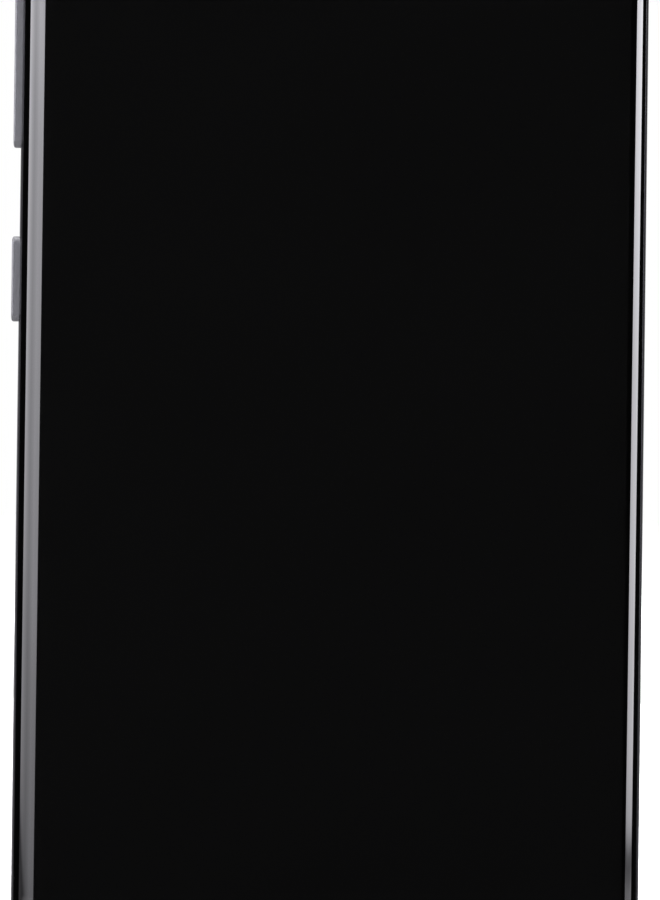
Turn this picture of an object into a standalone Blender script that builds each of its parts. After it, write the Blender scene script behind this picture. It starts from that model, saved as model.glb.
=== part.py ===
"""A smartphone with curved front and back glass, standing upright on its bottom edge.

Metres, +Z up along the phone's length. The screen faces -Y, the back faces +Y and the two keys are on -X.
The origin is the middle of the bottom edge. Each sub-part is one object, placed where it sits in the phone.
"""

import math
from collections import namedtuple

import bmesh
import bpy
from mathutils import Matrix, Vector

# The body's outer form
BODY_WIDTH = 0.0706
BODY_LENGTH = 0.1500
BODY_DEPTH = 0.0078
CORNER_RADIUS = 0.0095
HALF_WIDTH = BODY_WIDTH / 2
HALF_DEPTH = BODY_DEPTH / 2

# How the rim changes from the short edges (first value) to the long edges (second value)
REVEAL = (0.0009, 0.00035)  # width of side frame seen from the front, outside the glass
CURVE_WIDTH = (0.0013, 0.0037)  # width of the curved margin of the glass
CURVE_DROP = (0.00075, 0.0021)  # how far that margin drops behind the flat
RAIL_FLAT = (0.0015, 0.0003)  # half height of the flat band on the side frame's outside
WALL = (0.0019, 0.0034)  # inner wall of the side frame, measured in from the outline
BLEND_START = 0.0030  # distance from an end of the body at which the long-edge form starts
BLEND_END = 0.0170  # and at which it is complete
CORNER_STEPS = 8
BLEND_STEPS = 4

# Layers, front to back
GLASS = 0.0006
SEAM = 0.00016  # between a glass and the side frame
BOND = 0.00005  # between laminated layers
PANEL = 0.0006
PLATE_FRONT = -0.00235
PLATE_BACK = -0.00155
BOARD_FRONT = 0.0005
BOARD_BACK = 0.0012
FRONT_PARTS = -0.00145  # where parts on the display side of the boards begin
BRACKET_FRONT = 0.00235
BRACKET_BACK = 0.00285

# Keys
ROCKER_Z = 0.1118
ROCKER_LENGTH = 0.0220
POWER_Z = 0.0860
POWER_LENGTH = 0.0096
KEY_PROUD = 0.00085
KEY_HEIGHT = 0.0019
KEY_PLAY = 0.00013  # clearance round a key in its slot

# Openings in the edges
PORT_WIDTH = 0.00894
PORT_HEIGHT = 0.00316
SPEAKER_HOLES = 6
SPEAKER_PITCH = 0.0021
SPEAKER_FIRST_X = 0.0105
TRAY_X = -0.0152
TRAY_Y = -0.0005
TRAY_FACE = Vector((0.0160, 0.0018, 0.0012))
TRAY_BODY = Vector((0.0146, 0.0010, 0.0210))

# Rear cameras
ISLAND_X = 0.0205
ISLAND_Z = 0.1225
ISLAND_SIZE = Vector((0.0168, 0.0018, 0.0386))
LENS_PITCH = 0.0121
ISLAND_BACK = HALF_DEPTH + 0.0009
FLASH_X = 0.0070
FLASH_Z = ISLAND_Z + LENS_PITCH

# Display-side openings
FRONT_CAMERA_Z = 0.1415
EARPIECE_Z = 0.1470
EARPIECE_SLOT = Vector((0.0110, 0.0020, 0.0008))

SCREW_PLACES = (
    (-0.0280, 0.1090),
    (-0.0280, 0.1410),
    (0.0100, 0.1415),
    (0.0100, 0.1085),
    (-0.0255, 0.0180),
    (0.0035, 0.0180),
)
SCREW_SHANK = 0.0006
SCREW_HEAD = 0.0012

Station = namedtuple("Station", "x z nx nz reveal width drop flat wall")


# ---------------------------------------------------------------- scene and materials


def clear_scene():
    for obj in list(bpy.data.objects):
        bpy.data.objects.remove(obj)


def collection(name):
    made = bpy.data.collections.new(name)
    bpy.context.scene.collection.children.link(made)
    return made


def material(name, colour, roughness, metallic=0.0):
    made = bpy.data.materials.new(name)
    made.use_nodes = True
    made.diffuse_color = (*colour, 1.0)
    shader = made.node_tree.nodes["Principled BSDF"]
    shader.inputs["Base Color"].default_value = (*colour, 1.0)
    shader.inputs["Roughness"].default_value = roughness
    shader.inputs["Metallic"].default_value = metallic
    return made


# ---------------------------------------------------------------- shapes


def add_object(name, bm, finish, location=(0, 0, 0), smooth=False):
    """Puts a bmesh in the phone's collection as an object whose origin is at location."""
    bmesh.ops.recalc_face_normals(bm, faces=bm.faces)
    mesh = bpy.data.meshes.new(name)
    bm.to_mesh(mesh)
    bm.free()
    if finish:
        mesh.materials.append(finish)
    if smooth:
        mesh.shade_smooth()
        mesh.set_sharp_from_angle(angle=math.radians(35))
    obj = bpy.data.objects.new(name, mesh)
    obj.location = location
    (phone if finish else cutters).objects.link(obj)
    if not finish:
        obj.hide_render = True
        obj.display_type = "WIRE"
    return obj


def box(name, centre, size, finish=None, round_axis=None, radius=0.0, segments=3):
    """A box of the given size. Its four edges along round_axis (0, 1 or 2) can be rounded."""
    bm = bmesh.new()
    bmesh.ops.create_cube(bm, size=1.0)
    bmesh.ops.scale(bm, vec=Vector(size), verts=bm.verts)
    if radius:
        edges = [e for e in bm.edges if abs((e.verts[0].co - e.verts[1].co)[round_axis]) > 1e-9]
        bmesh.ops.bevel(bm, geom=edges, offset=radius, segments=segments, profile=0.5, affect="EDGES")
    return add_object(name, bm, finish, centre)


def slab(name, low, high, finish=None, round_axis=None, radius=0.0, segments=3):
    """A box given by its lowest and highest corners."""
    low, high = Vector(low), Vector(high)
    return box(name, (low + high) / 2, high - low, finish, round_axis, radius, segments)


def cylinder(name, centre, radius, depth, axis, finish=None, segments=20):
    """A cylinder along axis 0, 1 or 2."""
    turn = (Matrix.Rotation(math.pi / 2, 3, "Y"), Matrix.Rotation(math.pi / 2, 3, "X"), Matrix.Identity(3))
    bm = bmesh.new()
    bmesh.ops.create_cone(
        bm, cap_ends=True, segments=segments, radius1=radius, radius2=radius, depth=depth
    )
    bmesh.ops.rotate(bm, cent=(0, 0, 0), matrix=turn[axis], verts=bm.verts)
    return add_object(name, bm, finish, centre, smooth=bool(finish))


def boolean(obj, other, operation):
    modifier = obj.modifiers.new(other.name, "BOOLEAN")
    modifier.operation = operation
    modifier.object = other


def cut(obj, *others):
    for other in others:
        boolean(obj, other, "DIFFERENCE")


def join(obj, *others):
    for other in others:
        boolean(obj, other, "UNION")


def soften(obj, width, segments=2):
    """Rounds the edges that are sharper than 40 degrees."""
    modifier = obj.modifiers.new("soften", "BEVEL")
    modifier.width = width
    modifier.segments = segments
    modifier.limit_method = "ANGLE"
    modifier.angle_limit = math.radians(40)


def bent_strip(name, path, x_low, x_high, thickness, finish):
    """A flat flexible strip: an open band that follows path, a list of (y, z), thickened evenly."""
    bm = bmesh.new()
    rows = [[bm.verts.new((x, y, z)) for x in (x_low, x_high)] for y, z in path]
    for (a, b), (c, d) in zip(rows, rows[1:]):
        bm.faces.new((a, b, d, c))
    strip = add_object(name, bm, finish)
    solid = strip.modifiers.new("thickness", "SOLIDIFY")
    solid.thickness = thickness
    solid.offset = 0.0
    solid.use_even_offset = True
    return strip


def loft(name, loops, finish=None, closed=False):
    """A body through loops with one point for each station. Its ends are capped, or joined if closed."""
    bm = bmesh.new()
    rings = [[bm.verts.new(point) for point in loop] for loop in loops]
    count = len(rings[0])
    pairs = list(zip(rings, rings[1:]))
    if closed:
        pairs.append((rings[-1], rings[0]))
    for first, second in pairs:
        for i in range(count):
            k = (i + 1) % count
            bm.faces.new((first[i], first[k], second[k], second[i]))
    if not closed:
        bm.faces.new(rings[0])
        bm.faces.new(rings[-1][::-1])
    return add_object(name, bm, finish, smooth=bool(finish))


# ---------------------------------------------------------------- the body's outline and skin


def mix(pair, share):
    return pair[0] + (pair[1] - pair[0]) * share


def station(x, z, nx, nz):
    """The rim's form at one point of the outline, from its distance to the nearer end of the body."""
    end = min(z, BODY_LENGTH - z)
    t = min(max((end - BLEND_START) / (BLEND_END - BLEND_START), 0.0), 1.0)
    share = t * t * (3 - 2 * t)
    rim = [mix(pair, share) for pair in (REVEAL, CURVE_WIDTH, CURVE_DROP, RAIL_FLAT, WALL)]
    return Station(x, z, nx, nz, *rim)


def make_stations():
    """Points round the body's outline, anticlockwise from the right-hand side seen from the front."""
    found = []
    side_points = [
        CORNER_RADIUS + (BLEND_END - CORNER_RADIUS) * k / BLEND_STEPS for k in range(1, BLEND_STEPS + 1)
    ]
    x_centre = HALF_WIDTH - CORNER_RADIUS
    top, bottom = BODY_LENGTH - CORNER_RADIUS, CORNER_RADIUS
    corners = ((x_centre, top), (-x_centre, top), (-x_centre, bottom), (x_centre, bottom))
    for quarter, (cx, cz) in enumerate(corners):
        for k in range(CORNER_STEPS + 1):
            angle = math.pi / 2 * (quarter + k / CORNER_STEPS)
            nx, nz = math.cos(angle), math.sin(angle)
            found.append(station(cx + CORNER_RADIUS * nx, cz + CORNER_RADIUS * nz, nx, nz))
        if quarter in (1, 3):
            down = [BODY_LENGTH - z for z in side_points] + side_points[::-1]
            side = -1 if quarter == 1 else 1
            for z in down if quarter == 1 else down[::-1]:
                found.append(station(side * HALF_WIDTH, z, side, 0.0))
    return found


def inward(place, inset, y):
    """The point at that distance in from the outline, at depth y."""
    return (place.x - place.nx * inset, y, place.z - place.nz * inset)


def curve_radius(place):
    """(radius, end angle) of the arc that the curved margin follows."""
    angle = 2 * math.atan(place.drop / place.width)
    return place.width / math.sin(angle), angle


def skin(place, angle, offset, face):
    """A point of the glass's surface, or offset inside it. Angle is 0 where the flat ends, face -1 or 1."""
    radius, _ = curve_radius(place)
    inset = place.reveal + place.width - (radius - offset) * math.sin(angle)
    y = HALF_DEPTH - radius + (radius - offset) * math.cos(angle)
    return inward(place, inset, face * y)


def shell_loops(face, outer, inner, outer_end, inner_end, steps):
    """Loops of a curved sheet between two offsets, from its outer flat round its edge to its inner flat."""
    out = [[skin(p, outer_end(p) * k / steps, outer, face) for p in stations] for k in range(steps + 1)]
    back = [[skin(p, inner_end(p) * k / steps, inner, face) for p in stations] for k in range(steps, -1, -1)]
    return out + back


def glass_shell(name, face, finish):
    """A cover glass whose edge lies in one plane at each point of the rim."""

    def outer_end(place):
        return curve_radius(place)[1]

    def inner_end(place):
        radius, angle = curve_radius(place)
        return math.acos(radius * math.cos(angle) / (radius - GLASS))

    return loft(name, shell_loops(face, 0.0, GLASS, outer_end, inner_end, 5), finish)


def outline_plate(name, inset, y_front, y_back, finish):
    """A flat plate that follows the body's outline at a given inset for each station."""
    return loft(name, [[inward(p, inset(p), y) for p in stations] for y in (y_front, y_back)], finish)


def side_frame_loops():
    """The side frame's section: a rail that is flat in the middle and rounds off to the glass edges."""

    def shoulder(place):
        return HALF_DEPTH - place.drop - SEAM

    loops = []
    for face in (-1, 1):
        for t in (1.0, 0.7, 0.4, 0.0)[:: -face]:
            loops.append(
                [
                    inward(p, p.reveal * t * t, face * (p.flat + t * (shoulder(p) - p.flat)))
                    for p in stations
                ]
            )
    for face in (1, -1):
        loops.append([inward(p, p.wall, face * shoulder(p)) for p in stations])
    return loops


def gasket(name, face, finish):
    """The thin adhesive ring between a glass edge and the side frame's shoulder."""

    def ring(inset, gap):
        return [
            inward(p, p.reveal + inset, face * (HALF_DEPTH - p.drop - gap)) for p in stations
        ]

    near, far = SEAM * 0.2, SEAM * 0.8
    loops = [ring(0.00012, near), ring(0.00055, near), ring(0.00055, far), ring(0.00012, far)]
    return loft(name, loops, finish, closed=True)


# ---------------------------------------------------------------- display


def make_display():
    glass = glass_shell("cover_glass", -1, black_glass)
    cut(glass, slab_about("earpiece_slot_cut", (0, -HALF_DEPTH, EARPIECE_Z), EARPIECE_SLOT, 1, 0.00035))

    def panel_end(place):
        share = (place.width - CURVE_WIDTH[0]) / (CURVE_WIDTH[1] - CURVE_WIDTH[0])
        return math.radians(4 + 31 * share)

    front = GLASS + BOND
    panel = loft("display_panel", shell_loops(-1, front, front + PANEL, panel_end, panel_end, 3), panel_black)
    sheet_front = -HALF_DEPTH + front + PANEL + BOND
    sheet = outline_plate(
        "display_backing_sheet",
        lambda p: p.reveal + p.width + 0.0003,
        sheet_front,
        sheet_front + 0.00015,
        copper,
    )
    hole = cylinder("camera_punch_hole", (0, -0.0029, FRONT_CAMERA_Z), 0.0017, 0.0018, 1)
    cut(panel, hole)
    cut(sheet, hole)
    bent_strip(
        "display_flex",
        ((-0.00236, 0.0256), (-0.00236, 0.0220), (0.00039, 0.0220), (0.00039, 0.0165)),
        -0.0090,
        -0.0010,
        0.00010,
        flex_film,
    )
    gasket("display_gasket", -1, seal_rubber)
    slab(
        "earpiece_mesh",
        (-0.0053, -0.00375, EARPIECE_Z - 0.00030),
        (0.0053, -0.00350, EARPIECE_Z + 0.00030),
        steel_mesh,
    )


def slab_about(name, centre, size, round_axis=None, radius=0.0, segments=3):
    """A cutter box about a centre."""
    return box(name, centre, size, None, round_axis, radius, segments)


# ---------------------------------------------------------------- structure


def make_midplate():
    plate = outline_plate("midplate", lambda p: p.wall + BOND, PLATE_FRONT, PLATE_BACK, cast_metal)
    low = PLATE_BACK - 0.0002
    walls = (
        slab("battery_wall_left", (-0.0153, low, 0.0262), (-0.0147, -0.0004, 0.1034)),
        slab("battery_wall_bottom", (-0.0153, low, 0.0258), (0.0290, -0.0004, 0.0264)),
        slab("battery_wall_top", (-0.0153, low, 0.1032), (0.0290, -0.0004, 0.1038)),
    )
    join(plate, *walls)
    for number, (x, z) in enumerate(SCREW_PLACES):
        boss = cylinder(f"boss_{number}", (x, (low + 0.0023) / 2, z), 0.0015, 0.0023 - low, 1)
        join(plate, boss)
    for number, (x, z) in enumerate(SCREW_PLACES):
        bore = cylinder(f"boss_bore_{number}", (x, 0.0010, z), 0.0007, 0.0032, 1, segments=12)
        cut(plate, bore)
    middle = (PLATE_FRONT + PLATE_BACK) / 2
    cut(
        plate,
        slab_about("display_flex_slot", (-0.0050, middle, 0.0237), (0.0090, 0.003, 0.0046)),
        slab_about("front_camera_hole", (0, middle, FRONT_CAMERA_Z), (0.0066, 0.003, 0.0064)),
        slab_about("earpiece_hole", (0, middle, 0.14625), (0.0126, 0.003, 0.0027)),
        slab_about("port_notch", (0, middle, 0.0020), (0.0112, 0.003, 0.0120)),
    )
    return plate


def make_side_frame():
    frame = loft("side_frame", side_frame_loops(), black_anodised, closed=True)
    antenna_windows(frame)
    mouth = (PORT_WIDTH + 0.0003, PORT_HEIGHT + 0.0003, 0.006)
    cut(frame, slab_about("port_cut", (0, 0, 0), mouth, 2, 0.0015))
    for k in range(SPEAKER_HOLES):
        place = (SPEAKER_FIRST_X + k * SPEAKER_PITCH, 0, 0.0010)
        cut(frame, cylinder(f"speaker_hole_{k + 1}", place, 0.0006, 0.004, 2, segments=12))
    cut(frame, cylinder("bottom_mic_hole", (-0.0100, 0, 0.0010), 0.00045, 0.004, 2, segments=12))
    cut(frame, cylinder("top_mic_hole", (0.0080, 0, 0.1490), 0.00045, 0.004, 2, segments=12))
    play = Vector((0.00024, 0.00024, 0.0))
    cut(
        frame,
        slab_about(
            "tray_face_cut",
            (TRAY_X, TRAY_Y, BODY_LENGTH),
            TRAY_FACE + play + Vector((0, 0, TRAY_FACE.z + 0.0002)),
            2,
            0.00095,
        ),
        slab_about(
            "tray_body_cut",
            (TRAY_X, TRAY_Y, 0.1480),
            TRAY_BODY + play * 1.5 + Vector((0, 0, -0.016)),
        ),
    )
    for name, z, length in (("rocker", ROCKER_Z, ROCKER_LENGTH), ("power", POWER_Z, POWER_LENGTH)):
        slot = (0.008, KEY_HEIGHT + 2 * KEY_PLAY, length + 2 * KEY_PLAY)
        cut(
            frame,
            slab_about(f"{name}_slot", (-HALF_WIDTH, 0, z), slot, 0, 0.0009),
            slab_about(f"{name}_pocket", (-0.0318, 0, z), (0.0029, 0.0027, length + 0.0024)),
        )


def antenna_windows(frame):
    """Moulded plastic strips in grooves across the top and bottom edges."""
    groove = Vector((0.0013, 0.010, 0.00125))
    for name, x, z in (
        ("antenna_strip_bottom_left", -0.0255, 0.0),
        ("antenna_strip_bottom_right", 0.0255, 0.0),
        ("antenna_strip_top_left", -0.0255, BODY_LENGTH),
        ("antenna_strip_top_right", 0.0255, BODY_LENGTH),
    ):
        strip = loft(name, side_frame_loops(), grey_plastic, closed=True)
        depth = Vector((0, 0, groove.z))
        fill = slab_about(name + "_fill", (x, 0, z), groove + depth - Vector((0.0001, 0, 0.0001)))
        boolean(strip, fill, "INTERSECT")
        cut(frame, slab_about(name + "_groove", (x, 0, z), groove + depth))


def make_back():
    glass = glass_shell("back_glass", 1, black_glass)
    opening = ISLAND_SIZE + Vector((0.0004, 0.002, 0.0004))
    cut(
        glass,
        slab_about("island_opening", (ISLAND_X, HALF_DEPTH, ISLAND_Z), opening, 1, opening.x * 0.4999, 10),
        cylinder("flash_opening", (FLASH_X, HALF_DEPTH, FLASH_Z), 0.0026, 0.003, 1, segments=24),
    )
    gasket("back_gasket", 1, seal_rubber)


# ---------------------------------------------------------------- keys


def key(name, z, length, nubs, nub_depth):
    """A key cap through its slot, with a retaining flange inside and a nub for each switch."""
    inner = 0.0025
    body = box(
        name,
        (-HALF_WIDTH, 0, z),
        (2 * inner, KEY_HEIGHT, length),
        key_metal,
        0,
        0.0008,
    )
    trim = slab_about(name + "_trim", (-HALF_WIDTH - KEY_PROUD - 0.003, 0, z), (0.006, 0.004, length + 0.004))
    cut(body, trim)
    soften(body, 0.00022)
    flange = slab(
        name + "_flange",
        (-HALF_WIDTH + 0.00245, -0.00115, z - length / 2 - 0.0008),
        (-HALF_WIDTH + 0.0029, 0.00115, z + length / 2 + 0.0008),
    )
    join(body, flange)
    for number, height in enumerate(nubs):
        x_low, x_high = -HALF_WIDTH + 0.0028, -HALF_WIDTH + nub_depth
        place = ((x_low + x_high) / 2, 0, z + height)
        nub = cylinder(f"{name}_nub_{number}", place, 0.0006, x_high - x_low, 0, segments=12)
        join(body, nub)
    return body


def make_keys():
    switch_reach = 0.0060
    key("volume_rocker", ROCKER_Z, ROCKER_LENGTH, (-switch_reach, switch_reach), 0.00335)
    key("power_key", POWER_Z, POWER_LENGTH, (0,), 0.00315)
    flex = slab("side_key_flex", (-0.03145, -0.0013, 0.0800), (-0.03120, 0.0014, 0.1230), flex_film)
    join(flex, slab("side_key_flex_tail", (-0.03140, 0.00126, 0.0910), (-0.0260, 0.00140, 0.0960)))
    for name, z in (
        ("volume_down_switch", ROCKER_Z - switch_reach),
        ("volume_up_switch", ROCKER_Z + switch_reach),
        ("power_switch", POWER_Z),
    ):
        cylinder(name, (-0.03166, 0, z), 0.0010, 0.00034, 0, spring_steel, 16)


# ---------------------------------------------------------------- card tray


def make_tray():
    top = BODY_LENGTH
    tray = box(
        "sim_tray", (TRAY_X, TRAY_Y, top - TRAY_FACE.z / 2), TRAY_FACE, key_metal, 2, 0.00085, 4
    )
    body = slab(
        "tray_plate",
        (TRAY_X - TRAY_BODY.x / 2, TRAY_Y - TRAY_BODY.y / 2, top - TRAY_FACE.z - TRAY_BODY.z),
        (TRAY_X + TRAY_BODY.x / 2, TRAY_Y + TRAY_BODY.y / 2, top - TRAY_FACE.z + 0.0003),
    )
    join(tray, body)
    card = Vector((0.0125, 0.0010, 0.0090))
    cut(
        tray,
        slab_about("card_pocket", (TRAY_X, TRAY_Y - 0.0003, 0.1370), card, 1, 0.0008),
        slab_about("card_window", (TRAY_X, TRAY_Y, 0.1370), card - Vector((0.002, -0.002, 0.002)), 1, 0.0006),
        cylinder("pin_hole", (TRAY_X + 0.0064, TRAY_Y, top), 0.0004, 0.0030, 2, segments=12),
    )
    cage = slab(
        "sim_reader", (-0.0234, FRONT_PARTS, 0.1240), (-0.0070, BOARD_FRONT - BOND, 0.1474), shield_metal
    )
    cut(cage, slab_about("reader_slot", (TRAY_X, TRAY_Y, 0.1380), (TRAY_BODY.x + 0.0004, 0.0013, 0.0240)))


# ---------------------------------------------------------------- boards and modules


def boss_clearance(board, places):
    for x, z in places:
        cut(board, cylinder(f"{board.name}_hole", (x, 0.0010, z), 0.0018, 0.004, 1, segments=16))


def make_boards():
    board = slab(
        "main_board", (-0.0305, BOARD_FRONT, 0.1060), (0.0305, BOARD_BACK, 0.1455), board_blue, 1, 0.0030
    )
    leg = slab("main_board_leg", (-0.0305, BOARD_FRONT, 0.0620), (-0.0160, BOARD_BACK, 0.1100))
    join(board, leg)
    cut(board, slab_about("camera_cut_out", (ISLAND_X, 0, ISLAND_Z), (0.0112, 0.006, 0.0356)))
    boss_clearance(board, SCREW_PLACES[:4])
    under = BOARD_FRONT - BOND
    slab("processor_shield", (-0.0255, FRONT_PARTS, 0.1085), (0.0075, under, 0.1225), shield_metal)
    slab("radio_shield", (-0.0295, FRONT_PARTS, 0.0650), (-0.0170, under, 0.1040), shield_metal)
    slab("power_shield", (-0.0240, BOARD_BACK + BOND, 0.1160), (0.0030, 0.00225, 0.1370), shield_metal)
    slab("top_microphone", (0.0066, FRONT_PARTS, 0.1445), (0.0094, -0.0005, 0.1475), shield_metal)

    small = slab(
        "charging_board", (-0.0295, BOARD_FRONT, 0.0036), (0.0065, BOARD_BACK, 0.0205), board_blue, 1, 0.0012
    )
    cut(small, slab_about("port_cut_out", (0, 0.0008, 0.0030), (0.0098, 0.003, 0.0104)))
    boss_clearance(small, SCREW_PLACES[4:])
    slab("bottom_microphone", (-0.0115, -0.0006, 0.0038), (-0.0085, under, 0.0060), shield_metal)


def make_port():
    shell = slab(
        "usb_c_shell",
        (-PORT_WIDTH / 2, -PORT_HEIGHT / 2, 0.00015),
        (PORT_WIDTH / 2, PORT_HEIGHT / 2, 0.0076),
        spring_steel,
        2,
        0.0015,
        4,
    )
    wall = 0.0003
    cut(
        shell,
        slab_about(
            "port_bore", (0, 0, 0.0030), (PORT_WIDTH - 2 * wall, PORT_HEIGHT - 2 * wall, 0.0080), 2, 0.0012, 4
        ),
    )
    tongue = slab("usb_c_tongue", (-0.00334, -0.00035, 0.0010), (0.00334, 0.00035, 0.0068), black_plastic)
    join(tongue, slab("tongue_root", (-0.0037, -0.00095, 0.0056), (0.0037, 0.00095, 0.0069)))
    seal = slab("usb_c_seal", (-0.0052, -0.0022, 0.0021), (0.0052, 0.0022, 0.0029), seal_rubber, 2, 0.0020, 4)
    bore = (PORT_WIDTH + 0.0002, PORT_HEIGHT + 0.0002, 0.003)
    cut(seal, slab_about("seal_bore", (0, 0, 0.0025), bore, 2, 0.0015, 4))


def make_sound_and_motion():
    speaker = slab(
        "loudspeaker", (0.0082, FRONT_PARTS, 0.0040), (0.0290, 0.0022, 0.0215), black_plastic, 1, 0.0012
    )
    join(speaker, slab("loudspeaker_duct", (0.0092, -0.0012, 0.00225), (0.0226, 0.0012, 0.0045)))
    slab("loudspeaker_mesh", (0.0095, -0.0009, 0.00195), (0.0222, 0.0009, 0.00215), steel_mesh)
    slab("earpiece_speaker", (-0.0060, -0.0022, 0.14505), (0.0060, 0.0003, 0.14745), black_plastic)
    case = slab(
        "vibrator_case", (-0.0285, FRONT_PARTS, 0.0050), (-0.0165, BOARD_FRONT - BOND, 0.0130), spring_steel
    )
    cut(case, slab_about("vibrator_chamber", (-0.0225, -0.0010, 0.0090), (0.0114, 0.0023, 0.0074)))
    box("vibrator_mass", (-0.0225, -0.0006, 0.0090), (0.0098, 0.0012, 0.0066), tungsten)


def make_power():
    battery = slab("battery", (-0.0143, -0.0015, 0.0268), (0.0301, 0.00225, 0.1028), battery_foil)
    soften(battery, 0.0008)
    bent_strip(
        "battery_flex",
        ((0.00155, 0.10295), (0.00155, 0.1045), (0.00135, 0.1062), (0.00135, 0.1100)),
        -0.0020,
        0.0060,
        0.00010,
        flex_film,
    )
    bent_strip(
        "interconnect_flex",
        (
            (0.00135, 0.0150),
            (0.00135, 0.0212),
            (0.00240, 0.0255),
            (0.00240, 0.1035),
            (0.00135, 0.1062),
            (0.00135, 0.1100),
        ),
        -0.0135,
        -0.0065,
        0.00010,
        flex_film,
    )
    coil = cylinder("wireless_charging_coil", (0.0080, 0.00268, 0.0650), 0.0205, 0.00030, 1, copper, 40)
    cut(coil, cylinder("coil_centre", (0.0080, 0.00268, 0.0650), 0.0110, 0.002, 1, segments=32))


def make_antenna_cable():
    """A coaxial lead that is clipped beside the battery, from the charging board to the main board."""
    route = (
        (0.0045, 0.00165, 0.0195),
        (0.0065, 0.00175, 0.0228),
        (0.0120, 0.00180, 0.0240),
        (0.0270, 0.00180, 0.0242),
        (0.0300, 0.00180, 0.0254),
        (0.0310, 0.00180, 0.0285),
        (0.0310, 0.00180, 0.1030),
        (0.0303, 0.00175, 0.1060),
        (0.0290, 0.00165, 0.1080),
    )
    curve = bpy.data.curves.new("antenna_coax", "CURVE")
    curve.dimensions = "3D"
    curve.bevel_depth = 0.00035
    curve.bevel_resolution = 1
    curve.use_fill_caps = True
    spline = curve.splines.new("POLY")
    spline.points.add(len(route) - 1)
    for point, place in zip(spline.points, route):
        point.co = (*place, 1.0)
    curve.materials.append(black_plastic)
    phone.objects.link(bpy.data.objects.new("antenna_coax", curve))


def make_brackets():
    front, back = BRACKET_FRONT, BRACKET_BACK
    upper = slab("upper_bracket", (-0.0300, front, 0.1065), (0.0118, back, 0.1450), black_plastic, 1, 0.0030)
    lower = slab("lower_bracket", (-0.0290, front, 0.0040), (0.0065, back, 0.0220), black_plastic, 1, 0.0012)
    cut(upper, cylinder("flash_clearance", (FLASH_X, 0.0026, FLASH_Z), 0.0024, 0.002, 1, segments=16))
    for number, (x, z) in enumerate(SCREW_PLACES):
        bracket = upper if number < 4 else lower
        middle = (front + back) / 2
        cut(bracket, cylinder(f"screw_hole_{number}", (x, middle, z), 0.0008, 0.002, 1, segments=12))
        name = f"bracket_screw_{number + 1}"
        screw = cylinder(name, (x, 0.0030, z), SCREW_HEAD, 0.00025, 1, spring_steel, 16)
        join(screw, cylinder(f"screw_shank_{number}", (x, 0.0013, z), SCREW_SHANK, 0.0034, 1, segments=10))
        cut(screw, cylinder(f"screw_recess_{number}", (x, 0.0032, z), 0.0005, 0.0004, 1, segments=6))


# ---------------------------------------------------------------- cameras


def camera_body(name, z):
    body = box(
        name,
        (ISLAND_X, (FRONT_PARTS + 0.0027) / 2, z),
        (0.0100, 0.0027 - FRONT_PARTS, 0.0100),
        black_plastic,
    )
    cut(body, cylinder(name + "_bore", (ISLAND_X, 0.0025, z), 0.0037, 0.0040, 1, segments=24))
    return body


def lens_barrel(name, z):
    """A lens barrel that floats in its camera body and moves along Y to focus."""
    barrel = cylinder(name, (ISLAND_X, 0.00225, z), 0.0035, 0.0031, 1, lens_black, 24)
    cut(barrel, cylinder(name + "_mouth", (ISLAND_X, 0.0038, z), 0.0024, 0.0010, 1, segments=20))
    return barrel


def make_cameras():
    main_z, tele_z, wide_z = ISLAND_Z, ISLAND_Z - LENS_PITCH, ISLAND_Z + LENS_PITCH
    camera_body("main_camera_body", main_z)
    lens_barrel("main_lens_barrel", main_z)
    camera_body("tele_camera_body", tele_z)
    lens_barrel("tele_lens_barrel", tele_z)
    wide = box(
        "wide_camera",
        (ISLAND_X, (FRONT_PARTS + 0.0027) / 2, wide_z),
        (0.0100, 0.0027 - FRONT_PARTS, 0.0100),
        lens_black,
    )
    join(wide, cylinder("wide_lens", (ISLAND_X, 0.0031, wide_z), 0.0034, 0.0017, 1, segments=24))

    y_low = 0.0030
    height = ISLAND_BACK - y_low
    island = box(
        "camera_island",
        (ISLAND_X, y_low + height / 2, ISLAND_Z),
        (ISLAND_SIZE.x, height, ISLAND_SIZE.z),
        key_metal,
        1,
        ISLAND_SIZE.x * 0.4999,
        10,
    )
    soften(island, 0.0003)
    flange = (ISLAND_SIZE.x + 0.0016, 0.0002, ISLAND_SIZE.z + 0.0016)
    join(island, slab_about("island_flange", (ISLAND_X, 0.0031, ISLAND_Z), flange, 1, flange[0] * 0.4999, 10))
    recess = (ISLAND_SIZE.x - 0.0020, 0.0012, ISLAND_SIZE.z - 0.0020)
    through = (ISLAND_SIZE.x - 0.0036, 0.0080, ISLAND_SIZE.z - 0.0036)
    cut(
        island,
        slab_about("window_recess", (ISLAND_X, 0.0048, ISLAND_Z), recess, 1, recess[0] * 0.4999, 10),
        slab_about("island_through", (ISLAND_X, 0.0040, ISLAND_Z), through, 1, through[0] * 0.4999, 10),
    )
    box(
        "camera_window",
        (ISLAND_X, 0.0045, ISLAND_Z),
        (recess[0] - 0.0002, 0.0005, recess[2] - 0.0002),
        black_glass,
        1,
        recess[0] * 0.49,
        10,
    )
    cylinder("flash_lens", (FLASH_X, 0.00365, FLASH_Z), 0.0025, 0.0005, 1, clear_plastic, 24)
    box("flash_led", (FLASH_X, 0.0022, FLASH_Z), (0.0026, 0.0018, 0.0026), led_yellow)

    front = box("front_camera", (0, -0.0010, FRONT_CAMERA_Z), (0.0060, 0.0026, 0.0058), lens_black)
    join(front, cylinder("front_lens", (0, -0.0027, FRONT_CAMERA_Z), 0.0015, 0.0011, 1, segments=20))


clear_scene()
phone = collection("smartphone")
cutters = collection("cutters")
stations = make_stations()

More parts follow.
